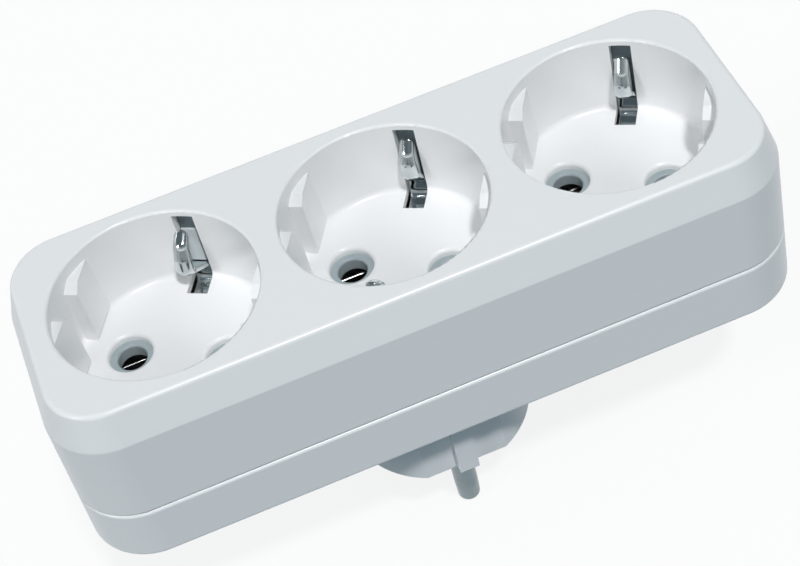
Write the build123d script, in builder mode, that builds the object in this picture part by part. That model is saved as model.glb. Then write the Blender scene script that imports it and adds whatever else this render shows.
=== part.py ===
from build123d import *
import os
from math import atan, cos, degrees, radians, sin, tan

# Three-way earthed mains adapter: three round recessed sockets in a row on top, one earthed plug below.
# Origin at the centre of the plug's face. X runs along the row of sockets, Z points up out of the sockets.

# Plug and socket interface
pin_diameter = 4.8
pin_length = 19.0
pin_nose_diameter = 4.5
pin_nose_length = 5.0
pin_nose_radius = 1.1
pin_spacing = 19.0
pin_hole_diameter = 5.6
pin_mouth_diameter = 8.4
recess_diameter = 39.0
recess_depth = 17.5
socket_land = 5.0
socket_turn = -30.0
plug_diameter = 37.0
plug_across_flats = 33.0
plug_depth = 21.2
plug_rib_width = 4.0
plug_rib_height = 1.9

# Housing
wall = 2.0
base_floor = 2.0
cup_wall = 1.8
cup_floor = 1.5
pin_tip_clearance = 0.3
end_margin = 4.25
side_margin = 3.15
top_corner_radius = 9.7
shoulder_run = 2.2
shoulder_rise = 7.5
draft_angle = 0.75
base_height = 12.5
seam_gap = 0.35
lip_height = 1.8
lip_thickness = 0.9
slip_gap = 0.1

# Edge roundings of the housing
top_edge_radius = 1.0
shoulder_radius = 1.2
rim_radius = 0.5
recess_floor_radius = 1.2
pin_mouth_radius = 0.9
seam_upper_radius = 0.3
seam_lower_radius = 0.7
base_edge_radius = 1.0
plug_edge_radius = 0.6

# Guide blocks in each recess
guide_chord_foot = 16.2
guide_chord_top = 16.7
guide_drop = 2.9
guide_notch_width = 5.4
guide_bevel_width = 2.1
guide_bevel_height = 1.6
guide_edge_radius = 0.8

# Pin plates between the cup floors and the earth clips
pin_plate_width = 9.2
pin_plate_thickness = 2.7
pin_plate_web = 0.6
pin_plate_lip_radius = 0.5

# Earth clips and the slots they stand in
slot_width = 4.1
slot_inner_reach = 14.45
slot_back_gap = 0.15
slot_drop = 1.45
slot_wall = 1.2
strip_thickness = 0.8
clip_base_width = 3.5
clip_finger_width = 2.5
clip_riser_set_back = 0.8
clip_knee_rise = 1.7
clip_heel_drop = 11.8
clip_lip_drop = 6.6
clip_tip_drop = 4.05
clip_foot_bend = 1.6
clip_knee_bend = 1.6
clip_heel_bend = 1.5
clip_lip_bend = 2.0
clip_tip_radius = 1.1
clip_heel_reach = {"left": 13.5, "middle": 16.4, "right": 15.8}
clip_lip_reach = {"left": 15.2, "middle": 16.0, "right": 15.6}
clip_tip_reach = {"left": 18.4, "middle": 19.9, "right": 19.2}
clip_front_bend_in = {"left": 0.0, "middle": 3.0, "right": 0.0}

# Earth rail and the plug's earth strips
earth_rail_width = 3.6
earth_rail_thickness = 1.0
plug_strip_width = 5.0
plug_strip_sink = 0.3
plug_strip_end_gap = 3.0

# Live rails, contacts and pins
rail_thickness = 1.0
rail_height = 7.0
rail_end = 5.0
contact_leaf = 0.6
contact_gap = 4.9
contact_half_length = 2.9
contact_flare = 0.4
contact_flare_height = 2.0
contact_top_gap = 2.2
contact_edge_radius = 0.25
contact_foot_gap = 1.3
rail_foot_gap = 2.8
plug_face_thickness = 3.0
pin_root_diameter = 5.4
pin_collar_diameter = 7.6
pin_collar_height = 2.0
pin_cup_wall = 1.2
pin_cup_height = 5.0
pin_rivet_depth = 2.0

# Supports on the base
saddle_length = 3.0
saddle_cheek = 1.4
saddle_grip = 2.0
saddle_offset = 7.0
pillar_radius = 1.9

# Rivets and screws
rivet_diameter = 2.2
rivet_head_diameter = 3.4
rivet_head_height = 0.7
screw_diameter = 3.0
screw_length = 14.0
screw_head_diameter = 5.6
screw_head_height = 2.2
screw_head_sink = 6.0
screw_cross_width = 0.9
screw_cross_span = 3.2
screw_cross_depth = 1.1
screw_boss_radius = 3.9
screw_hole_margin = 1.0
part_gap = 0.4
hole_gap = 0.05
match_tolerance = 0.01

# Heights worked out from the plug face upwards
base_z = plug_depth
tray_z = base_z + base_floor
recess_z = tray_z + pin_tip_clearance + pin_length
top_z = recess_z + recess_depth
cup_under_z = recess_z - cup_floor
pin_plate_z = cup_under_z - pin_plate_thickness
seam_z = base_z + base_height
upper_foot_z = seam_z + seam_gap
shoulder_z = top_z - shoulder_rise
strap_top_z = cup_under_z - pin_plate_web
strap_z = strap_top_z - strip_thickness
earth_rail_z = strap_z - earth_rail_thickness
strip_foot_z = earth_rail_z - strip_thickness
contact_top_z = pin_plate_z - contact_top_gap
contact_foot_z = tray_z + contact_foot_gap
rail_z = tray_z + rail_foot_gap
rail_top_z = rail_z + rail_height
rivet_z = rail_z + rail_height / 2
screw_seat_z = base_z + screw_head_sink

# Places worked out in plan
recess_radius = recess_diameter / 2
socket_pitch = recess_diameter + socket_land
cup_radius = recess_radius + cup_wall
clip_riser_reach = recess_radius + clip_riser_set_back
slot_outer_reach = clip_riser_reach + strip_thickness + slot_back_gap
pocket_inner_reach = recess_radius + cup_wall / 2
pocket_outer_reach = slot_outer_reach + slot_wall
plug_radius = plug_diameter / 2
pin_radius = pin_diameter / 2
turn = radians(socket_turn)
pin_x = pin_spacing / 2 * cos(turn)
pin_y = -pin_spacing / 2 * sin(turn)
sockets = {"left": -socket_pitch, "middle": 0.0, "right": socket_pitch}
poles = {"line": 1, "neutral": -1}
rail_inner_y = pin_y + contact_gap / 2 + contact_leaf
rail_outer_y = rail_inner_y + rail_thickness
earth_rail_y = pin_y + pin_plate_width / 2 + part_gap + earth_rail_width / 2
screw_x = socket_pitch / 2
screw_y = earth_rail_y + earth_rail_width / 2 + part_gap + screw_boss_radius
plug_strip_outer = plug_radius - plug_strip_sink
plug_strip_inner = plug_strip_outer - strip_thickness
plug_strip_foot_x = plug_strip_outer - plug_strip_width / 2
rivet_radius = rivet_diameter / 2
strap_cross_x = -earth_rail_y * tan(turn)
earth_rivet_places = [(x + strap_cross_x, earth_rail_y) for x in sockets.values()]
earth_rivet_places += [(-plug_strip_foot_x, earth_rail_y), (plug_strip_foot_x, earth_rail_y)]

# Along each live rail, in the pole's own frame, the same numbers serve both poles
contact_xs = [x - pin_x for x in sockets.values()]
rail_centre_y = (rail_inner_y + rail_outer_y) / 2
pillar_x = contact_xs[-1] - saddle_offset
saddle_xs = (contact_xs[0] + saddle_offset, -plug_radius - saddle_offset, pillar_x)
saddle_places = [(x, rail_centre_y) for x in saddle_xs]


def outline(z, inset=0.0):
    """Length, width and corner radius of the housing at height z below the shoulder, less an inset."""
    grow = shoulder_run + tan(radians(draft_angle)) * (shoulder_z - z) - inset
    half_length = socket_pitch + recess_radius + end_margin + grow
    half_width = recess_radius + side_margin + grow
    return 2 * half_length, 2 * half_width, top_corner_radius + grow


def socket_plane(x, z):
    """Plane at height z on a socket's axis, with its x along the socket's pin line."""
    return Plane(origin=(x, 0, z), x_dir=(cos(turn), sin(turn), 0), z_dir=(0, 0, 1))


def pole_plane(side, z):
    """Plane at height z that is turned half round for the neutral pole, so both poles share their numbers."""
    return Plane(origin=(0, 0, z), x_dir=(side, 0, 0), z_dir=(0, 0, 1))


def rivet_plane(side, y):
    """Plane at rivet height and distance y from the middle, facing out towards the pole's own long side."""
    return Plane(origin=(0, side * y, rivet_z), x_dir=(side, 0, 0), z_dir=(0, side, 0))


def finish(builder, name):
    """Label a finished piece and write it."""
    builder.part.label = name
    export_step(builder.part, f"parts/{name}.step")


os.makedirs("parts", exist_ok=True)

# Pair of guide blocks at one end of the pin line, moulded with the housing, a bevelled notch between them
with BuildPart() as guide_pair:
    with BuildSketch(Plane.XZ):
        with BuildLine():
            Polyline(
                (guide_chord_foot, 0),
                (guide_chord_top, recess_depth - guide_drop),
                (cup_radius, recess_depth - guide_drop),
                (cup_radius, 0),
                close=True,
            )
        make_face()
    extrude(amount=recess_radius, both=True)
    with BuildSketch(Plane.XY):
        Circle(recess_radius + cup_wall / 2)
    extrude(amount=recess_depth, mode=Mode.INTERSECT)
    with BuildSketch(Plane.YZ):
        with BuildLine():
            Polyline(
                (-guide_notch_width / 2, 0),
                (-guide_notch_width / 2, recess_depth - guide_drop - guide_bevel_height),
                (-guide_notch_width / 2 - guide_bevel_width, recess_depth - guide_drop),
                (guide_notch_width / 2 + guide_bevel_width, recess_depth - guide_drop),
                (guide_notch_width / 2, recess_depth - guide_drop - guide_bevel_height),
                (guide_notch_width / 2, 0),
                close=True,
            )
        make_face()
    extrude(amount=cup_radius, mode=Mode.SUBTRACT)
    notch_edges = guide_pair.edges().filter_by(lambda edge: edge.length > recess_depth / 2)
    fillet(notch_edges.group_by(Axis.X)[0], guide_edge_radius)

# Upper housing: one moulding with three socket cups, their guide blocks, and four screw bosses
with BuildPart() as upper_housing:
    with BuildSketch(Plane.XY.offset(upper_foot_z)):
        RectangleRounded(*outline(upper_foot_z))
    extrude(amount=shoulder_z - upper_foot_z, taper=draft_angle)
    with BuildSketch(Plane.XY.offset(shoulder_z)):
        RectangleRounded(*outline(shoulder_z))
    extrude(amount=shoulder_rise, taper=degrees(atan(shoulder_run / shoulder_rise)))
    fillet(upper_housing.faces().sort_by(Axis.Z)[-1].edges(), top_edge_radius)
    shoulder_edges = upper_housing.edges().filter_by_position(
        Axis.Z, shoulder_z - match_tolerance, shoulder_z + match_tolerance
    )
    fillet(shoulder_edges, shoulder_radius)
    fillet(upper_housing.faces().sort_by(Axis.Z)[0].edges(), seam_upper_radius)

    # hollow below the top wall, and the rebate that takes the base's lip
    with BuildSketch(Plane.XY.offset(upper_foot_z)):
        RectangleRounded(*outline(upper_foot_z, wall))
    extrude(amount=shoulder_z - upper_foot_z, taper=draft_angle, mode=Mode.SUBTRACT)
    with BuildSketch(Plane.XY.offset(shoulder_z)):
        RectangleRounded(*outline(shoulder_z, wall))
    extrude(
        amount=shoulder_rise - wall,
        taper=degrees(atan(shoulder_run / shoulder_rise)),
        mode=Mode.SUBTRACT,
    )
    with BuildSketch(Plane.XY.offset(upper_foot_z)):
        RectangleRounded(*outline(upper_foot_z, wall - lip_thickness - slip_gap))
    extrude(amount=lip_height - seam_gap + slip_gap, mode=Mode.SUBTRACT)

    # cups with a closed pocket behind each clip slot, and screw bosses
    with BuildSketch(Plane.XY.offset(cup_under_z)):
        with Locations([(x, 0) for x in sockets.values()]):
            Circle(cup_radius)
    extrude(amount=top_z - wall / 2 - cup_under_z)
    for x in sockets.values():
        with BuildSketch(socket_plane(x, cup_under_z)):
            with GridLocations(0, pocket_inner_reach + pocket_outer_reach, 1, 2):
                Rectangle(slot_width + 2 * slot_wall, pocket_outer_reach - pocket_inner_reach)
        extrude(amount=top_z - wall / 2 - cup_under_z)
    with BuildSketch(Plane.XY.offset(seam_z)):
        with GridLocations(2 * screw_x, 2 * screw_y, 2, 2):
            Circle(screw_boss_radius)
    extrude(amount=top_z - wall / 2 - seam_z)
    with BuildSketch(Plane.XY.offset(seam_z)):
        with GridLocations(2 * screw_x, 2 * screw_y, 2, 2):
            Circle(screw_diameter / 2 + hole_gap)
    extrude(amount=screw_seat_z + screw_length + screw_hole_margin - seam_z, mode=Mode.SUBTRACT)

    # recesses with a soft rim and a small round where wall meets floor
    with BuildSketch(Plane.XY.offset(recess_z)):
        with Locations([(x, 0) for x in sockets.values()]):
            Circle(recess_radius)
    extrude(amount=recess_depth, mode=Mode.SUBTRACT)
    recess_edges = upper_housing.edges().filter_by(GeomType.CIRCLE)
    recess_edges = recess_edges.filter_by(lambda edge: abs(edge.radius - recess_radius) < match_tolerance)
    fillet(recess_edges.group_by(Axis.Z)[-1], rim_radius)
    fillet(recess_edges.group_by(Axis.Z)[0], recess_floor_radius)
    for end in (0, 180):
        with Locations([Location((x, 0, recess_z), (0, 0, socket_turn + end)) for x in sockets.values()]):
            add(guide_pair.part)

    # round-lipped pin openings, and the slots for the earth clips in floor and wall
    for x in sockets.values():
        with BuildSketch(socket_plane(x, cup_under_z)):
            with GridLocations(pin_spacing, 0, 2, 1):
                Circle(pin_mouth_diameter / 2)
        extrude(amount=cup_floor, mode=Mode.SUBTRACT)
        with BuildSketch(socket_plane(x, strap_z)):
            with GridLocations(0, slot_inner_reach + slot_outer_reach, 1, 2):
                Rectangle(slot_width, slot_outer_reach - slot_inner_reach)
        extrude(amount=top_z - slot_drop - strap_z, mode=Mode.SUBTRACT)
    mouths = upper_housing.edges().filter_by(GeomType.CIRCLE)
    mouths = mouths.filter_by_position(Axis.Z, recess_z - match_tolerance, recess_z + match_tolerance)
    mouths = mouths.filter_by(lambda edge: abs(edge.radius - pin_mouth_diameter / 2) < match_tolerance)
    fillet(mouths, pin_mouth_radius)
finish(upper_housing, "upper_housing")

# Pin plates: grey mouldings with the pin holes, held up to each cup floor by the clip in their groove
for place, x in sockets.items():
    with BuildPart() as pin_plate:
        with BuildSketch(socket_plane(x, pin_plate_z)):
            SlotCenterToCenter(pin_spacing, pin_plate_width)
            with GridLocations(pin_spacing, 0, 2, 1):
                Circle(pin_hole_diameter / 2, mode=Mode.SUBTRACT)
        extrude(amount=pin_plate_thickness)
        with BuildSketch(socket_plane(x, pin_plate_z)):
            Rectangle(clip_base_width + 2 * slip_gap, pin_plate_width)
        extrude(amount=strap_top_z - pin_plate_z, mode=Mode.SUBTRACT)
        lips = pin_plate.edges().filter_by(GeomType.CIRCLE).group_by(Axis.Z)[-1]
        lips = lips.filter_by(lambda edge: abs(edge.radius - pin_hole_diameter / 2) < match_tolerance)
        fillet(lips, pin_plate_lip_radius)
    finish(pin_plate, f"pin_plate_{place}")

# Lower housing: the tray-shaped base with the hollow plug body moulded below it
with BuildPart() as lower_housing:
    with BuildSketch(Plane.XY.offset(base_z)):
        RectangleRounded(*outline(base_z))
    extrude(amount=base_height, taper=draft_angle)
    fillet(lower_housing.faces().sort_by(Axis.Z)[-1].edges(), seam_lower_radius)
    fillet(lower_housing.faces().sort_by(Axis.Z)[0].edges(), base_edge_radius)
    with BuildSketch(Plane.XY):
        Circle(plug_radius)
        Rectangle(plug_diameter, plug_across_flats, mode=Mode.INTERSECT)
        Rectangle(plug_rib_width, plug_across_flats + 2 * plug_rib_height)
    extrude(amount=base_z)
    fillet(lower_housing.faces().sort_by(Axis.Z)[0].edges(), plug_edge_radius)

    # tray and plug hollows, and the lip that locates the upper housing
    with BuildSketch(Plane.XY.offset(tray_z)):
        RectangleRounded(*outline(tray_z, wall))
    extrude(amount=seam_z - tray_z, taper=draft_angle, mode=Mode.SUBTRACT)
    with BuildSketch(Plane.XY.offset(plug_face_thickness)):
        Circle(plug_radius - wall)
        Rectangle(plug_diameter, plug_across_flats - 2 * wall, mode=Mode.INTERSECT)
    extrude(amount=tray_z - plug_face_thickness, mode=Mode.SUBTRACT)
    with BuildSketch(Plane.XY.offset(seam_z - wall)):
        RectangleRounded(*outline(seam_z, wall - lip_thickness))
        RectangleRounded(*outline(seam_z, wall), mode=Mode.SUBTRACT)
    extrude(amount=wall + lip_height)

    # screw posts, rail saddles, earth rail pillars and the cups round the pin collars
    with BuildSketch(Plane.XY.offset(base_z + base_floor / 2)):
        with GridLocations(2 * screw_x, 2 * screw_y, 2, 2):
            Circle(screw_boss_radius)
    extrude(amount=seam_z - base_z - base_floor / 2)
    for side in poles.values():
        with BuildSketch(pole_plane(side, tray_z)):
            with Locations(saddle_places):
                Rectangle(saddle_length, rail_thickness + 2 * slip_gap + 2 * saddle_cheek)
        extrude(amount=rail_z + saddle_grip - tray_z)
        with BuildSketch(pole_plane(side, rail_z)):
            with Locations(saddle_places):
                Rectangle(saddle_length, rail_thickness + 2 * slip_gap)
        extrude(amount=saddle_grip, mode=Mode.SUBTRACT)
    with BuildSketch(Plane.XY.offset(tray_z)):
        with Locations((-pillar_x, earth_rail_y), (pillar_x, earth_rail_y)):
            Circle(pillar_radius)
    extrude(amount=earth_rail_z - tray_z)
    with BuildSketch(Plane.XY.offset(plug_face_thickness)):
        with GridLocations(0, pin_spacing, 1, 2):
            Circle(pin_collar_diameter / 2 + slip_gap + pin_cup_wall)
            Circle(pin_collar_diameter / 2 + slip_gap, mode=Mode.SUBTRACT)
    extrude(amount=pin_cup_height)

    # holes for pin roots and screws, and the grooves and slots for the plug's earth strips
    with BuildSketch(Plane.XY):
        with GridLocations(0, pin_spacing, 1, 2):
            Circle(pin_root_diameter / 2 + hole_gap)
    extrude(amount=plug_face_thickness, mode=Mode.SUBTRACT)
    with BuildSketch(Plane.XY.offset(base_z)):
        with GridLocations(2 * screw_x, 2 * screw_y, 2, 2):
            Circle(screw_head_diameter / 2 + slip_gap)
    extrude(amount=screw_head_sink, mode=Mode.SUBTRACT)
    with BuildSketch(Plane.XY.offset(screw_seat_z)):
        with GridLocations(2 * screw_x, 2 * screw_y, 2, 2):
            Circle(screw_diameter / 2 + slip_gap)
    extrude(amount=seam_z - screw_seat_z, mode=Mode.SUBTRACT)
    for side in (-1, 1):
        with BuildSketch(Plane.XY.offset(plug_strip_end_gap - slip_gap)):
            with Locations((side * (plug_strip_inner - slip_gap + plug_radius) / 2, 0)):
                Rectangle(plug_radius - plug_strip_inner + slip_gap, plug_strip_width + 2 * slip_gap)
        extrude(amount=base_z - plug_strip_end_gap + slip_gap, mode=Mode.SUBTRACT)
        with BuildSketch(Plane.XY.offset(base_z)):
            with Locations((side * (plug_strip_inner + plug_strip_outer) / 2, 0)):
                Rectangle(strip_thickness + 2 * slip_gap, plug_strip_width + 2 * slip_gap)
        extrude(amount=base_floor, mode=Mode.SUBTRACT)
finish(lower_housing, "lower_housing")

# Plug pins: turned brass with a rounded nose, a collar behind the plug face and a flat against the rail
collar_top_z = plug_face_thickness + pin_collar_height
for pole, side in poles.items():
    pin_foot = (0, side * pin_spacing / 2, 0)
    with BuildPart() as pin:
        with BuildSketch(Plane(origin=pin_foot, x_dir=(1, 0, 0), z_dir=(0, -1, 0))):
            with BuildLine():
                Polyline(
                    (0, -pin_length),
                    (0, rail_top_z),
                    (pin_radius, rail_top_z),
                    (pin_radius, collar_top_z),
                    (pin_collar_diameter / 2, collar_top_z),
                    (pin_collar_diameter / 2, plug_face_thickness),
                    (pin_root_diameter / 2, plug_face_thickness),
                    (pin_root_diameter / 2, 0),
                    (pin_radius, 0),
                    (pin_radius, pin_nose_length - pin_length),
                    (pin_nose_diameter / 2, -pin_length),
                    close=True,
                )
            make_face()
        revolve(axis=Axis(pin_foot, (0, 0, 1)))
        fillet(pin.faces().sort_by(Axis.Z)[0].edges(), pin_nose_radius)
        with BuildSketch(pole_plane(side, rail_z - part_gap)):
            with Locations((0, rail_outer_y - pin_spacing / 2)):
                Rectangle(pin_diameter, pin_spacing)
        extrude(amount=rail_height + part_gap, mode=Mode.SUBTRACT)
        with BuildSketch(rivet_plane(side, rail_outer_y)):
            Circle(rivet_radius + hole_gap)
        extrude(amount=pin_rivet_depth, mode=Mode.SUBTRACT)
    finish(pin, f"{pole}_pin")

# Live rails: brass strips on edge in the base's saddles, one along each row of pin holes
for pole, side in poles.items():
    with BuildPart() as rail:
        with BuildSketch(pole_plane(side, rail_z)):
            with Locations((-pin_x, rail_centre_y)):
                Rectangle(2 * (socket_pitch + rail_end), rail_thickness)
        extrude(amount=rail_height)
        with BuildSketch(rivet_plane(side, rail_inner_y)):
            with Locations([(x, 0) for x in (*contact_xs, 0)]):
                Circle(rivet_radius + hole_gap)
        extrude(amount=rail_thickness, mode=Mode.SUBTRACT)
    finish(rail, f"{pole}_rail")

# Pin contacts: channels of spring bronze, two flared leaves and a web, riveted to the rail by the outer leaf
leaf_inner = contact_gap / 2
leaf_outer = leaf_inner + contact_leaf
flare_z = contact_top_z - contact_flare_height
for pole, side in poles.items():
    for place, x in sockets.items():
        pin_axis = (x - side * pin_x, side * pin_y, 0)
        with BuildPart() as contact:
            with BuildSketch(Plane(origin=pin_axis, x_dir=(0, side, 0), z_dir=(side, 0, 0))):
                with BuildLine():
                    Polyline(
                        (leaf_inner, contact_foot_z),
                        (leaf_inner, flare_z),
                        (leaf_inner + contact_flare, contact_top_z),
                        (leaf_outer + contact_flare, contact_top_z),
                        (leaf_outer, flare_z),
                        (leaf_outer, contact_foot_z),
                        close=True,
                    )
                make_face()
                mirror(about=Plane.YZ)
            extrude(amount=contact_half_length, both=True)
            with BuildSketch(Plane(origin=pin_axis, x_dir=(side, 0, 0)).offset(contact_foot_z)):
                with Locations((-contact_half_length - contact_leaf / 2, 0)):
                    Rectangle(contact_leaf, 2 * leaf_outer)
            extrude(amount=flare_z - contact_foot_z)
            fillet(contact.edges().filter_by(Axis.X).group_by(Axis.Z)[-1], contact_edge_radius)
            with BuildSketch(rivet_plane(side, pin_y)):
                with Locations((side * pin_axis[0], 0)):
                    Circle(rivet_radius + hole_gap)
            extrude(amount=leaf_outer, mode=Mode.SUBTRACT)
        finish(contact, f"{pole}_contact_{place}")

# Earth clips: one bent strip per socket, flat under the pin plate, with a springy finger up at each end.
# The fingers are set by hand, so some stand further in than others.
clip_knee_z = recess_z + clip_knee_rise
clip_heel_z = top_z - clip_heel_drop
clip_lip_z = top_z - clip_lip_drop
clip_tip_z = top_z - clip_tip_drop
clip_bends = [clip_foot_bend, clip_knee_bend, clip_heel_bend, clip_lip_bend]


def finger_face(place, bend_in):
    """Inner face of a clip's finger in side view, foot to tip, bent in from the heel upwards."""
    return [
        (clip_riser_reach, strap_top_z),
        (clip_riser_reach, clip_knee_z),
        (clip_heel_reach[place] - bend_in, clip_heel_z),
        (clip_lip_reach[place] - bend_in, clip_lip_z),
        (clip_tip_reach[place] - bend_in, clip_tip_z),
    ]


for place, x in sockets.items():
    side_view = Plane(origin=(x, 0, 0), x_dir=(-sin(turn), cos(turn), 0), z_dir=(cos(turn), sin(turn), 0))
    front_view = Plane(origin=(x, 0, 0), x_dir=(cos(turn), sin(turn), 0), z_dir=(sin(turn), -cos(turn), 0))
    back_face = finger_face(place, 0.0)
    front_face = [(-r, z) for r, z in reversed(finger_face(place, clip_front_bend_in[place]))]
    with BuildPart() as earth_clip:
        with BuildSketch(side_view):
            with BuildLine():
                FilletPolyline(*front_face, *back_face, radius=[*reversed(clip_bends), *clip_bends])
                offset(amount=strip_thickness, side=Side.RIGHT)
            make_face()
        extrude(amount=clip_base_width / 2, both=True)
        with BuildSketch(front_view) as clip_front:
            with BuildLine():
                Polyline(
                    (clip_base_width / 2, strap_z),
                    (clip_base_width / 2, clip_knee_z),
                    (clip_finger_width / 2, clip_lip_z),
                    (clip_finger_width / 2, clip_tip_z),
                    (-clip_finger_width / 2, clip_tip_z),
                    (-clip_finger_width / 2, clip_lip_z),
                    (-clip_base_width / 2, clip_knee_z),
                    (-clip_base_width / 2, strap_z),
                    close=True,
                )
            make_face()
            fillet(clip_front.vertices().group_by(Axis.Y)[-1], clip_tip_radius)
        extrude(amount=slot_outer_reach, both=True, mode=Mode.INTERSECT)
        with BuildSketch(Plane.XY.offset(strap_z)):
            with Locations((x + strap_cross_x, earth_rail_y)):
                Circle(rivet_radius + hole_gap)
        extrude(amount=strip_thickness, mode=Mode.SUBTRACT)
    finish(earth_clip, f"earth_clip_{place}")

# Earth rail: a flat brass strip under the three clips, on the base's pillars
with BuildPart() as earth_rail:
    with BuildSketch(Plane.XY.offset(earth_rail_z)):
        with Locations((strap_cross_x, earth_rail_y)):
            Rectangle(2 * (socket_pitch + rail_end), earth_rail_width)
        with Locations(earth_rivet_places):
            Circle(rivet_radius + hole_gap, mode=Mode.SUBTRACT)
    extrude(amount=earth_rail_thickness)
finish(earth_rail, "earth_rail")

# Plug earth strips: bent brass in a groove down each side of the plug, the foot riveted under the earth rail
foot_far_y = earth_rail_y + earth_rail_width / 2
foot_near_y = -plug_strip_width / 2
for place, side in {"left": -1, "right": 1}.items():
    with BuildPart() as plug_strip:
        with BuildSketch(Plane.XY.offset(plug_strip_end_gap)):
            with Locations((side * (plug_strip_inner + plug_strip_outer) / 2, 0)):
                Rectangle(strip_thickness, plug_strip_width)
        extrude(amount=earth_rail_z - plug_strip_end_gap)
        with BuildSketch(Plane.XY.offset(strip_foot_z)):
            with Locations((side * plug_strip_foot_x, (foot_far_y + foot_near_y) / 2)):
                Rectangle(plug_strip_width, foot_far_y - foot_near_y)
            with Locations((side * plug_strip_foot_x, earth_rail_y)):
                Circle(rivet_radius + hole_gap, mode=Mode.SUBTRACT)
        extrude(amount=strip_thickness)
    finish(plug_strip, f"plug_earth_strip_{place}")

# Contact rivets: one through each contact's outer leaf and the rail, one through each rail into its plug pin
with BuildPart() as contact_rivets:
    for side in poles.values():
        with BuildSketch(rivet_plane(side, pin_y + leaf_inner)):
            with Locations([(x, 0) for x in contact_xs]):
                Circle(rivet_radius)
        extrude(amount=contact_leaf + rail_thickness)
        with BuildSketch(rivet_plane(side, rail_outer_y)):
            with Locations([(x, 0) for x in contact_xs]):
                Circle(rivet_head_diameter / 2)
        extrude(amount=rivet_head_height)
        with BuildSketch(rivet_plane(side, rail_inner_y)):
            Circle(rivet_radius)
        extrude(amount=rail_thickness + pin_rivet_depth)
        with BuildSketch(rivet_plane(side, rail_inner_y - rivet_head_height)):
            Circle(rivet_head_diameter / 2)
        extrude(amount=rivet_head_height)
finish(contact_rivets, "contact_rivets")

# Earth rivets: three hold the clips to the earth rail, two hold the plug strips' feet under it
with BuildPart() as earth_rivets:
    for number, place in enumerate(earth_rivet_places):
        lower_z = earth_rail_z if number < len(sockets) else strip_foot_z
        upper_z = strap_top_z if number < len(sockets) else strap_z
        with BuildSketch(Plane.XY.offset(lower_z)):
            with Locations(place):
                Circle(rivet_radius)
        extrude(amount=upper_z - lower_z)
        with BuildSketch(Plane.XY.offset(lower_z - rivet_head_height)):
            with Locations(place):
                Circle(rivet_head_diameter / 2)
        extrude(amount=rivet_head_height)
finish(earth_rivets, "earth_rivets")

# Housing screws: four, sunk in the base's posts, up into the upper housing's bosses
with BuildPart() as housing_screws:
    with BuildSketch(Plane.XY.offset(screw_seat_z)):
        with GridLocations(2 * screw_x, 2 * screw_y, 2, 2):
            Circle(screw_diameter / 2)
    extrude(amount=screw_length)
    with BuildSketch(Plane.XY.offset(screw_seat_z - screw_head_height)):
        with GridLocations(2 * screw_x, 2 * screw_y, 2, 2):
            Circle(screw_head_diameter / 2)
    extrude(amount=screw_head_height)
    with BuildSketch(Plane.XY.offset(screw_seat_z - screw_head_height)):
        with GridLocations(2 * screw_x, 2 * screw_y, 2, 2):
            Rectangle(screw_cross_span, screw_cross_width)
            Rectangle(screw_cross_width, screw_cross_span)
    extrude(amount=screw_cross_depth, mode=Mode.SUBTRACT)
finish(housing_screws, "housing_screws")
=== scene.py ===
"""Three-way earthed mains adapter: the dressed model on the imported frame, in metres."""

from math import cos, radians, sin

import bpy
import numpy as np
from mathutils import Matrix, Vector


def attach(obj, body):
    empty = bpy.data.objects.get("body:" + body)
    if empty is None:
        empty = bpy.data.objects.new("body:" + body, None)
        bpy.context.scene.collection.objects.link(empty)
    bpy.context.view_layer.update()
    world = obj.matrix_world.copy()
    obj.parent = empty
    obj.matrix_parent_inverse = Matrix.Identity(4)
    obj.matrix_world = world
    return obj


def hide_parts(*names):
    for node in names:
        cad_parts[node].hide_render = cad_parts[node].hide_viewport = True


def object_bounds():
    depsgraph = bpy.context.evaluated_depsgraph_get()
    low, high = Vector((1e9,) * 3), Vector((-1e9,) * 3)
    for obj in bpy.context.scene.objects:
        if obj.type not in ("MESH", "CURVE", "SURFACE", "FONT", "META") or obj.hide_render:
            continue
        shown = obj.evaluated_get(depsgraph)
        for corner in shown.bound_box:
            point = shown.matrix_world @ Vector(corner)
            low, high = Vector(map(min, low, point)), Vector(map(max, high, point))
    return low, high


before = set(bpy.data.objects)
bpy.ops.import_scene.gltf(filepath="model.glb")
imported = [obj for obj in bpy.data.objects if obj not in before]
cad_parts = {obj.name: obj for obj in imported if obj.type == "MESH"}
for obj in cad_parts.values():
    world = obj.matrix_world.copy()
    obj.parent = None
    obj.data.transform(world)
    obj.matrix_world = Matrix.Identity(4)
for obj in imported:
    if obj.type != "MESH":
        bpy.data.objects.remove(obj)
cad_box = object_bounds()


# Lower housing: the tray-shaped base with the plug body moulded below it, in glossy white thermoplastic.
# It is one injection moulding, closed to the upper housing by four screws.
plastic_shade = (0.918, 0.918, 0.919, 1.0)
plastic_light = (0.921, 0.921, 0.921, 1.0)


def start_finish(name, metallic):
    """New material with one shader, read on the piece's own coordinates."""
    finish = bpy.data.materials.new(name)
    finish.use_nodes = True
    tree = finish.node_tree
    shader = tree.nodes["Principled BSDF"]
    shader.inputs["Metallic"].default_value = metallic
    coordinates = tree.nodes.new("ShaderNodeTexCoord").outputs["Object"]
    return finish, tree, shader, coordinates


def grain(tree, coordinates, scale, detail=3.0, stretch=(1.0, 1.0, 1.0)):
    """Noise of so many cells a metre, drawn out along the axes whose stretch is small."""
    mapping = tree.nodes.new("ShaderNodeMapping")
    mapping.inputs["Scale"].default_value = stretch
    noise = tree.nodes.new("ShaderNodeTexNoise")
    noise.inputs["Scale"].default_value = scale
    noise.inputs["Detail"].default_value = detail
    tree.links.new(coordinates, mapping.inputs["Vector"])
    tree.links.new(mapping.outputs["Vector"], noise.inputs["Vector"])
    return noise.outputs["Fac"]


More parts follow.
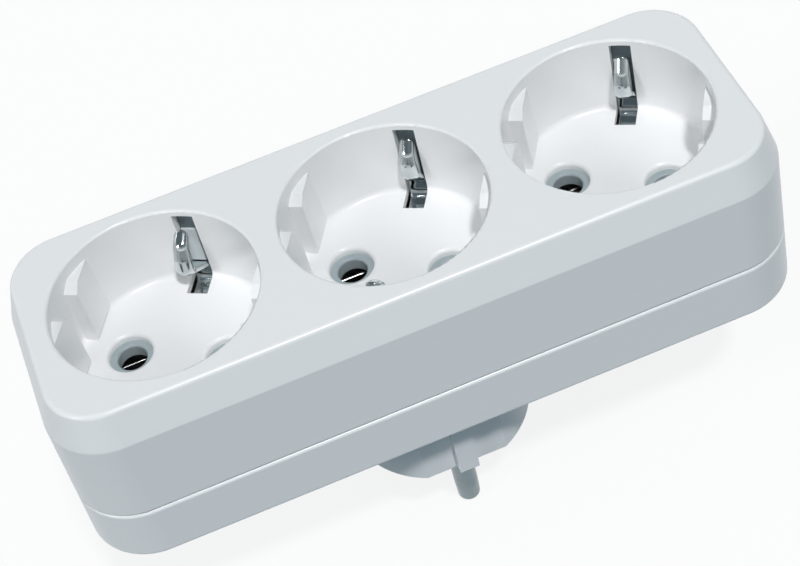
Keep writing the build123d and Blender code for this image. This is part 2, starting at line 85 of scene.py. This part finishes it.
def vary_colour(tree, shader, factor, dark, light):
    """Base colour that drifts from dark to light with the noise."""
    ramp = tree.nodes.new("ShaderNodeValToRGB")
    ramp.color_ramp.elements[0].position = 0.3
    ramp.color_ramp.elements[0].color = dark
    ramp.color_ramp.elements[1].position = 0.7
    ramp.color_ramp.elements[1].color = light
    tree.links.new(factor, ramp.inputs["Fac"])
    tree.links.new(ramp.outputs["Color"], shader.inputs["Base Color"])


def vary_roughness(tree, shader, factor, low, high):
    """Roughness that drifts from low to high with the noise."""
    spread = tree.nodes.new("ShaderNodeMapRange")
    spread.inputs["From Min"].default_value = 0.3
    spread.inputs["From Max"].default_value = 0.7
    spread.inputs["To Min"].default_value = low
    spread.inputs["To Max"].default_value = high
    tree.links.new(factor, spread.inputs["Value"])
    tree.links.new(spread.outputs["Result"], shader.inputs["Roughness"])


def add_relief(tree, shader, factor, strength, depth):
    """Fine surface relief, depth in metres from the noise's low to its high."""
    bump = tree.nodes.new("ShaderNodeBump")
    bump.inputs["Strength"].default_value = strength
    bump.inputs["Distance"].default_value = depth
    tree.links.new(factor, bump.inputs["Height"])
    tree.links.new(bump.outputs["Normal"], shader.inputs["Normal"])


def glossy_white_plastic(name):
    """Polished-mould thermoplastic: even white, faint flow marks, a gloss that softens in patches."""
    finish, tree, shader, coordinates = start_finish(name, 0.0)
    shader.inputs["IOR"].default_value = 1.49
    flow_marks = grain(tree, coordinates, scale=45.0)
    vary_colour(tree, shader, flow_marks, dark=plastic_shade, light=plastic_light)
    patches = grain(tree, coordinates, scale=160.0)
    vary_roughness(tree, shader, patches, low=0.26, high=0.27)
    skin = grain(tree, coordinates, scale=2400.0, detail=2.0)
    add_relief(tree, shader, skin, strength=0.02, depth=0.00003)
    return finish


housing_finish = glossy_white_plastic("housing_plastic_dressed")
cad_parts["lower_housing"].material_slots[0].material = housing_finish


# Plug pins: turned brass, nickel plated, with a rounded nose.
# Each stands in a cup behind the plug face and is riveted to its rail.
def nickel_with_painted_shade(name, stretch):
    """Dull cool grey nickel, its darkness painted shade for the dark it mirrors, with fine lines along the
    way it was drawn or turned.
    """
    finish, tree, shader, coordinates = start_finish(name, 1.0)
    patches = grain(tree, coordinates, scale=220.0)
    vary_colour(tree, shader, patches, dark=(0.18, 0.23, 0.25, 1.0), light=(0.24, 0.29, 0.31, 1.0))
    lines = grain(tree, coordinates, scale=2600.0, detail=4.0, stretch=stretch)
    vary_roughness(tree, shader, lines, low=0.20, high=0.28)
    add_relief(tree, shader, lines, strength=0.04, depth=0.00003)
    return finish


# The pins and the plug strips share this dark grey, which is painted shade rather than the nickel's own
# colour.
pin_finish = nickel_with_painted_shade("pin_nickel", stretch=(0.12, 0.12, 1.0))
for node in ("line_pin", "neutral_pin"):
    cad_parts[node].material_slots[0].material = pin_finish


# Live rails: brass strip on edge in the base's saddles, one along each row of pin holes.
# Cut from drawn strip, so the fine lines run along it and the faces are a little tarnished.
def drawn_brass(name):
    """Yellow metal with lines along X and patches of tarnish."""
    finish, tree, shader, coordinates = start_finish(name, 1.0)
    tarnish = grain(tree, coordinates, scale=120.0)
    vary_colour(tree, shader, tarnish, dark=(0.55, 0.37, 0.14, 1.0), light=(0.76, 0.56, 0.25, 1.0))
    lines = grain(tree, coordinates, scale=2200.0, detail=4.0, stretch=(0.05, 1.0, 1.0))
    vary_roughness(tree, shader, lines, low=0.26, high=0.42)
    add_relief(tree, shader, lines, strength=0.15, depth=0.00004)
    return finish


brass_finish = drawn_brass("rail_brass_dressed")
for node in ("line_rail", "neutral_rail"):
    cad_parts[node].material_slots[0].material = brass_finish


# Pin contacts: folded spring bronze, tinned: two flared leaves and a web, riveted to the rail by one leaf.
# Their mouths can be seen down the pin holes.
def tinned_bronze(name):
    """Silver-grey tin with lines up and down the leaves and dull patches."""
    finish, tree, shader, coordinates = start_finish(name, 1.0)
    patches = grain(tree, coordinates, scale=300.0)
    vary_colour(tree, shader, patches, dark=(0.50, 0.51, 0.51, 1.0), light=(0.66, 0.67, 0.66, 1.0))
    lines = grain(tree, coordinates, scale=2400.0, detail=4.0, stretch=(1.0, 1.0, 0.06))
    vary_roughness(tree, shader, lines, low=0.14, high=0.24)
    add_relief(tree, shader, lines, strength=0.15, depth=0.00004)
    return finish


contact_finish = tinned_bronze("contact_bronze_dressed")
for pole in ("line", "neutral"):
    for place in ("left", "middle", "right"):
        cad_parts[f"{pole}_contact_{place}"].material_slots[0].material = contact_finish


# Earth rail and the rivets: a flat brass strip under the three earth clips, and brass rivets.
# The rivets are headed cold, of the same brass as the rails.
for node in ("earth_rail", "contact_rivets", "earth_rivets"):
    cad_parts[node].material_slots[0].material = brass_finish


# Plug earth strips: bent brass, nickel plated, in a groove down each side of the plug.
# Their feet are riveted under the earth rail.
strip_finish = nickel_with_painted_shade("plug_strip_nickel", stretch=(1.0, 1.0, 0.06))
for place in ("left", "right"):
    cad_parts[f"plug_earth_strip_{place}"].material_slots[0].material = strip_finish


# Earth clips: one nickel-plated spring strip per socket, flat under the pin plate, a finger up at each end.
# The fingers are pressed to a crown across their width and set by hand, and their tips are cut round.
# Corners are given as reach from the socket's middle and height, with a bend radius at each but the tip.
strip_thickness = 0.0008
strap_top = 0.0404
shoulder_height = 0.0414
knee_height = 0.0442
riser_reach = 0.0203
foot_knee_heel_waist_lip_bends = [0.0016, 0.0016, 0.0015, 0.0050, 0.0030]
strap_half_width = 0.00175
riser_half_width = 0.00197
finger_half_width = 0.00135
tip_corner_radius = 0.0011
finger_crown = 0.00046
edge_round = 0.00014
widest_edge_share = 0.45
thinnest_end_share = 0.01
socket_turn = radians(-30.0)
socket_places = {"left": -0.044, "middle": 0.0, "right": 0.044}
heel_waist_lip_tip = {
    "left": [(0.0141, 0.0475), (0.0148, 0.0513), (0.0161, 0.0538), (0.0190, 0.05535)],
    "middle": [(0.0164, 0.0482), (0.0166, 0.0519), (0.0174, 0.0538), (0.0199, 0.05595)],
    "right": [(0.0158, 0.0482), (0.01605, 0.0512), (0.0169, 0.0532), (0.0192, 0.05595)],
}
front_bend_in = {"left": 0.0, "middle": 0.0046, "right": 0.0}
side_set = {"left": -0.0010, "middle": 0.0, "right": 0.0}


def bent_line(corners, radii, step):
    """Points and headings along a bent line. The heading holds on each straight run and turns evenly round
    each corner's arc; the points are the running sum of small steps along the heading."""
    runs = np.diff(corners, axis=0)
    headings = np.unwrap(np.arctan2(runs[:, 1], runs[:, 0]))
    turns = np.diff(headings)
    cuts = radii * np.tan(np.abs(turns) / 2)
    straights = np.linalg.norm(runs, axis=1)
    straights[:-1] -= cuts
    straights[1:] -= cuts
    lengths = np.empty(len(straights) + len(turns))
    lengths[0::2] = straights
    lengths[1::2] = radii * np.abs(turns)
    marks = np.concatenate(([0.0], np.cumsum(lengths)))
    along = np.linspace(0.0, marks[-1], int(marks[-1] / step) + 1)
    heading = np.interp(along, marks, np.repeat(headings, 2))
    middle = (heading[:-1] + heading[1:]) / 2
    moves = np.diff(along)[:, None] * np.stack((np.cos(middle), np.sin(middle)), axis=1)
    points = np.concatenate((corners[:1], corners[0] + np.cumsum(moves, axis=0)))
    return along, points, heading


def strip_section(face_count=13, corner_count=5):
    """Closed section of a strip with rounded edges, as four arrays: place across the core from -1 to 1,
    offset across and offset through in edge radii, and which face from -1 (back) to 1 (front)."""
    across = np.linspace(-1.0, 1.0, face_count)
    quarter = np.linspace(0.0, np.pi / 2, corner_count)[1:-1]
    ones, zeros = np.ones(face_count), np.zeros(face_count)
    side = np.ones(len(quarter))
    rising, falling = np.sin(quarter), np.cos(quarter)
    core = np.concatenate((across, side, side, -across, -side, -side))
    out = np.concatenate((zeros, rising, falling, zeros, -rising, -falling))
    through = np.concatenate((ones, falling, -rising, -ones, -falling, rising))
    face = np.concatenate((ones, side, -side, -ones, -side, side))
    return core, out, through, face


def finger_corners(place, bend_in):
    """Corners of a finger's inner face in side view, foot to tip, bent in from the heel upwards."""
    riser = [(riser_reach, strap_top), (riser_reach, knee_height)]
    return riser + [(reach - bend_in, height) for reach, height in heel_waist_lip_tip[place]]


def earth_clip(name, place):
    """A strip's section carried along its bent line. The half width follows the height: it widens from strap
    to shoulder, narrows from knee to lip and closes round the tip. The crown drops the section by the square
    of the place across it, and the side set carries the finger across: by the square of the way from knee to
    heel, so it clears the slot's wall, and in full from there upwards."""
    back = finger_corners(place, 0.0)
    front = [(-reach, height) for reach, height in reversed(finger_corners(place, front_bend_in[place]))]
    radii = np.array(foot_knee_heel_waist_lip_bends[::-1] + foot_knee_heel_waist_lip_bends)
    along, points, heading = bent_line(np.array(front + back), radii, step=0.00016)
    height = points[:, 1]
    to_tip = np.minimum(along, along[-1] - along)
    heel_height, lip_height = heel_waist_lip_tip[place][0][1], heel_waist_lip_tip[place][2][1]
    above_knee = np.clip((height - knee_height) / (heel_height - knee_height), 0.0, 1.0)
    levels = (strap_top, shoulder_height, knee_height, lip_height)
    half_widths = (strap_half_width, riser_half_width, riser_half_width, finger_half_width)
    half = np.interp(height, levels, half_widths)
    tip_gap = np.clip(tip_corner_radius - to_tip, 0.0, tip_corner_radius)
    half = half - tip_corner_radius + np.sqrt(tip_corner_radius**2 - tip_gap**2)
    end_gap = np.clip(1.0 - to_tip / (strip_thickness / 2), 0.0, 1.0)
    thick = strip_thickness * np.sqrt(np.clip(1.0 - end_gap**2, thinnest_end_share, 1.0))
    edge = np.minimum(edge_round, widest_edge_share * np.minimum(half, thick))
    crown = finger_crown * above_knee
    core, out, through, face = strip_section()
    across = core * (half - edge)[:, None] + out * edge[:, None]
    depth = face * (thick / 2 - edge)[:, None] + through * edge[:, None]
    depth = depth - strip_thickness / 2 - crown[:, None] * (across / finger_half_width) ** 2
    reach = points[:, 0, None] - np.sin(heading)[:, None] * depth
    rise = height[:, None] + np.cos(heading)[:, None] * depth
    sideways = across + side_set[place] * above_knee[:, None] ** 2
    x = socket_places[place] - sin(socket_turn) * reach + cos(socket_turn) * sideways
    y = cos(socket_turn) * reach + sin(socket_turn) * sideways
    grid = np.stack((x, y, rise), axis=-1)
    stations, count = grid.shape[:2]
    index = np.arange(stations * count).reshape(stations, count)
    here, after = index[:-1], index[1:]
    quads = np.stack((here, np.roll(here, -1, 1), np.roll(after, -1, 1), after), axis=-1).reshape(-1, 4)
    ends = np.stack((grid[0].mean(0), grid[-1].mean(0)))
    first, last = stations * count, stations * count + 1
    first_fan = np.stack((np.full(count, first), np.roll(index[0], -1), index[0]), axis=-1)
    last_fan = np.stack((np.full(count, last), index[-1], np.roll(index[-1], -1)), axis=-1)
    vertices = np.concatenate((grid.reshape(-1, 3), ends))
    mesh = bpy.data.meshes.new(name)
    mesh.from_pydata(vertices, [], quads.tolist() + first_fan.tolist() + last_fan.tolist())
    mesh.polygons.foreach_set("use_smooth", np.ones(len(mesh.polygons), bool))
    flat = np.stack((across, np.broadcast_to(along[:, None], across.shape)), axis=-1).reshape(-1, 2)
    flat = np.concatenate((flat, [[0.0, along[0]], [0.0, along[-1]]]))
    corners = np.empty(len(mesh.loops), np.int32)
    mesh.loops.foreach_get("vertex_index", corners)
    mesh.uv_layers.new(name="strip").data.foreach_set("uv", flat[corners].ravel())
    piece = bpy.data.objects.new(name, mesh)
    bpy.context.scene.collection.objects.link(piece)
    return piece


def drawn_nickel(name):
    """Bright nickel on drawn strip: fine lines along the strip, read on its own flat map in metres."""
    finish, tree, shader, coordinates = start_finish(name, 1.0)
    strip = tree.nodes.new("ShaderNodeUVMap")
    strip.uv_map = "strip"
    patches = grain(tree, coordinates, scale=260.0)
    vary_colour(tree, shader, patches, dark=(0.56, 0.60, 0.61, 1.0), light=(0.66, 0.70, 0.71, 1.0))
    lines = grain(tree, strip.outputs["UV"], scale=3200.0, detail=4.0, stretch=(1.0, 0.05, 1.0))
    vary_roughness(tree, shader, lines, low=0.08, high=0.13)
    add_relief(tree, shader, lines, strength=0.05, depth=0.00002)
    return finish


clip_finish = drawn_nickel("clip_nickel")
for place in socket_places:
    clip = earth_clip(f"earth_clip_{place}_sprung", place)
    clip.data.materials.append(clip_finish)
    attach(clip, "root")
    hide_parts(f"earth_clip_{place}")


# Pin plates: one grey moulding under each cup floor, with the two pin holes, held up by the earth clip.
# The plain plastic shows as a ring in each pin opening.
def grey_plastic(name, dark, light):
    """Plain grey thermoplastic with a dull, very slightly grainy face."""
    finish, tree, shader, coordinates = start_finish(name, 0.0)
    shader.inputs["IOR"].default_value = 1.49
    vary_colour(tree, shader, grain(tree, coordinates, scale=300.0), dark, light)
    patches = grain(tree, coordinates, scale=500.0)
    vary_roughness(tree, shader, patches, low=0.38, high=0.48)
    skin = grain(tree, coordinates, scale=2500.0, detail=2.0)
    add_relief(tree, shader, skin, strength=0.05, depth=0.00004)
    return finish


plate_finish = grey_plastic(
    "plate_plastic_dressed", dark=(0.36, 0.42, 0.44, 1.0), light=(0.40, 0.46, 0.48, 1.0)
)
for place in socket_places:
    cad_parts[f"pin_plate_{place}"].material_slots[0].material = plate_finish


# Slot backs: a thin dark sheet between each slot's back wall and the clip's riser, and a pale bar before
# the sheet, just above the clip's knee. The sheet's near-black is painted shade, set where the slot's back
# lies in shade. Grey plastic is a guess for the bar. The bar is narrower and lower than the slot, so a line
# of painted shadow is left beside and above it.
slot_painted_shade = {"sides": (-0.0020, 0.0020), "reaches": (0.02114, 0.02122), "heights": (0.0430, 0.05845)}
finger_stop = {"sides": (-0.0018, 0.0011), "reaches": (0.0207, 0.0211), "heights": (0.0449, 0.0537)}
stop_edge_round = 0.00012


def standing_strip(name, place, sides, reaches, heights):
    """Upright box between two places across, two reaches and two heights, turned to the socket's clip line.
    Its eight corners are every choice of one from each pair."""
    corners = np.meshgrid(sides, reaches, heights, indexing="ij")
    across, reach, rise = (side.ravel() for side in corners)
    x = socket_places[place] - sin(socket_turn) * reach + cos(socket_turn) * across
    y = cos(socket_turn) * reach + sin(socket_turn) * across
    faces = [(0, 1, 3, 2), (4, 6, 7, 5), (0, 4, 5, 1), (2, 3, 7, 6), (0, 2, 6, 4), (1, 5, 7, 3)]
    mesh = bpy.data.meshes.new(name)
    mesh.from_pydata(np.stack((x, y, rise), axis=-1), [], faces)
    piece = bpy.data.objects.new(name, mesh)
    bpy.context.scene.collection.objects.link(piece)
    return piece


# The sheet's near-black teal is painted shade.
painted_shade_finish = grey_plastic(
    "slot_sheet_grey", dark=(0.11, 0.15, 0.165, 1.0), light=(0.13, 0.17, 0.185, 1.0)
)
stop_finish = grey_plastic(
    "finger_stop_grey", dark=(0.66, 0.71, 0.73, 1.0), light=(0.70, 0.75, 0.77, 1.0)
)
for place in socket_places:
    sheet = standing_strip(f"slot_sheet_{place}", place, **slot_painted_shade)
    sheet.data.materials.append(painted_shade_finish)
    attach(sheet, "root")
    stop = standing_strip(f"finger_stop_{place}", place, **finger_stop)
    stop.data.materials.append(stop_finish)
    edge = stop.modifiers.new("edge", "BEVEL")
    edge.width = stop_edge_round
    edge.segments = 3
    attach(stop, "root")


# Upper housing: one moulding with three socket cups and their guide blocks, in the same white plastic.
# It closes over the base's lip and is drawn down by the four screws.
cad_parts["upper_housing"].material_slots[0].material = housing_finish


# Housing screws: four zinc-plated steel screws, sunk in the base's posts and driven up into the bosses
# of the upper housing. Each head has a punched cross recess.
def zinc_plating(name):
    """Pale blue-grey metal, a little cloudy."""
    finish, tree, shader, coordinates = start_finish(name, 1.0)
    clouds = grain(tree, coordinates, scale=400.0)
    vary_colour(tree, shader, clouds, dark=(0.42, 0.44, 0.46, 1.0), light=(0.60, 0.62, 0.64, 1.0))
    patches = grain(tree, coordinates, scale=700.0)
    vary_roughness(tree, shader, patches, low=0.28, high=0.44)
    skin = grain(tree, coordinates, scale=3000.0)
    add_relief(tree, shader, skin, strength=0.12, depth=0.00004)
    return finish


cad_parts["housing_screws"].material_slots[0].material = zinc_plating("screw_zinc")


# Floor: a plain pale board just under the pin tips.
# It looks white to the eye and in the metal, keeps a light shadow, and throws little light back up.
floor_reach = 4.0
floor_gap = 0.0005
floor_height = cad_box[0][2] - floor_gap
own_light_share = 0.86
floor_mesh = bpy.data.meshes.new("floor")
floor_mesh.from_pydata(
    [
        (-floor_reach, -floor_reach, floor_height),
        (floor_reach, -floor_reach, floor_height),
        (floor_reach, floor_reach, floor_height),
        (-floor_reach, floor_reach, floor_height),
    ],
    [],
    [(0, 1, 2, 3)],
)
floor = bpy.data.objects.new("floor", floor_mesh)
bpy.context.scene.collection.objects.link(floor)


def seen_directly(tree):
    """One for rays from the eye, also mirrored or through glass, and none for light that spreads from one
    surface to another."""
    path = tree.nodes.new("ShaderNodeLightPath")
    eye_or_mirror = tree.nodes.new("ShaderNodeMath")
    eye_or_mirror.operation = "MAXIMUM"
    tree.links.new(path.outputs["Is Camera Ray"], eye_or_mirror.inputs[0])
    tree.links.new(path.outputs["Is Glossy Ray"], eye_or_mirror.inputs[1])
    any_way = tree.nodes.new("ShaderNodeMath")
    any_way.operation = "MAXIMUM"
    tree.links.new(eye_or_mirror.outputs[0], any_way.inputs[0])
    tree.links.new(path.outputs["Is Transmission Ray"], any_way.inputs[1])
    return any_way.outputs[0]


floor_finish = bpy.data.materials.new("floor_board")
floor_finish.use_nodes = True
floor_tree = floor_finish.node_tree
floor_tree.nodes.clear()
board = floor_tree.nodes.new("ShaderNodeBsdfDiffuse")
board.inputs["Color"].default_value = (0.04, 0.12, 0.16, 1.0)
pale_board = floor_tree.nodes.new("ShaderNodeBsdfDiffuse")
pale_board.inputs["Color"].default_value = (0.95, 0.95, 0.95, 1.0)
glow = floor_tree.nodes.new("ShaderNodeEmission")
glow.inputs["Color"].default_value = (1.0, 1.0, 1.0, 1.0)
glow.inputs["Strength"].default_value = 1.0
seen_board = floor_tree.nodes.new("ShaderNodeMixShader")
seen_board.inputs["Fac"].default_value = own_light_share
floor_tree.links.new(pale_board.outputs["BSDF"], seen_board.inputs[1])
floor_tree.links.new(glow.outputs["Emission"], seen_board.inputs[2])
board_mix = floor_tree.nodes.new("ShaderNodeMixShader")
floor_tree.links.new(seen_directly(floor_tree), board_mix.inputs["Fac"])
floor_tree.links.new(board.outputs["BSDF"], board_mix.inputs[1])
floor_tree.links.new(seen_board.outputs["Shader"], board_mix.inputs[2])
board_out = floor_tree.nodes.new("ShaderNodeOutputMaterial")
floor_tree.links.new(board_mix.outputs["Shader"], board_out.inputs["Surface"])
floor_mesh.materials.append(floor_finish)


# Light: a lamp high in front of the object, a weaker one lower on its left, and a dim cool room round them.
# The room is white at eye level and falls off to grey overhead, which the metal shows.
def soft_lamp(name, way, level, spread):
    """Far lamp that shines from the given way, with a disc of so many degrees."""
    lamp_data = bpy.data.lights.new(name, "SUN")
    lamp_data.energy = level
    lamp_data.angle = radians(spread)
    lamp = bpy.data.objects.new(name, lamp_data)
    lamp.rotation_euler = Vector(way).to_track_quat("Z", "Y").to_euler()
    bpy.context.scene.collection.objects.link(lamp)


soft_lamp("front_lamp", way=(0.0830, -0.4710, 0.8782), level=1.73, spread=5.0)
soft_lamp("side_lamp", way=(-0.7698, -0.2802, 0.5736), level=0.70, spread=14.0)

room = bpy.data.worlds.new("room")
bpy.context.scene.world = room
room.use_nodes = True
room_tree = room.node_tree
room_tree.nodes.clear()
fill = room_tree.nodes.new("ShaderNodeBackground")
fill.inputs["Color"].default_value = (0.207, 0.246, 0.272, 1.0)
fill.inputs["Strength"].default_value = 1.0
direction = room_tree.nodes.new("ShaderNodeTexCoord")
parts = room_tree.nodes.new("ShaderNodeSeparateXYZ")
room_tree.links.new(direction.outputs["Generated"], parts.inputs["Vector"])
wall = room_tree.nodes.new("ShaderNodeValToRGB")
wall.color_ramp.elements[0].position = 0.25
wall.color_ramp.elements[0].color = (1.0, 1.0, 1.0, 1.0)
wall.color_ramp.elements[1].position = 0.65
wall.color_ramp.elements[1].color = (0.13, 0.16, 0.18, 1.0)
room_tree.links.new(parts.outputs["Z"], wall.inputs["Fac"])
backdrop = room_tree.nodes.new("ShaderNodeBackground")
backdrop.inputs["Strength"].default_value = 1.0
room_tree.links.new(wall.outputs["Color"], backdrop.inputs["Color"])
room_mix = room_tree.nodes.new("ShaderNodeMixShader")
room_tree.links.new(seen_directly(room_tree), room_mix.inputs["Fac"])
room_tree.links.new(fill.outputs["Background"], room_mix.inputs[1])
room_tree.links.new(backdrop.outputs["Background"], room_mix.inputs[2])
room_out = room_tree.nodes.new("ShaderNodeOutputWorld")
room_tree.links.new(room_mix.outputs["Shader"], room_out.inputs["Surface"])


# Camera: in front of the long side, well above it, rolled a little, as a hand-held view of the sockets.
camera_data = bpy.data.cameras.new("camera")
camera_data.sensor_width = 36.0
camera_data.lens = 90.795
camera_data.clip_start = 0.01
camera = bpy.data.objects.new("camera", camera_data)
camera.location = (-0.036999, -0.251132, 0.318068)
camera.rotation_euler = (radians(41.11061), radians(10.40027), radians(-19.86715))
bpy.context.scene.collection.objects.link(camera)
bpy.context.scene.camera = camera
bpy.context.scene.view_settings.view_transform = "Standard"

bpy.context.view_layer.update()
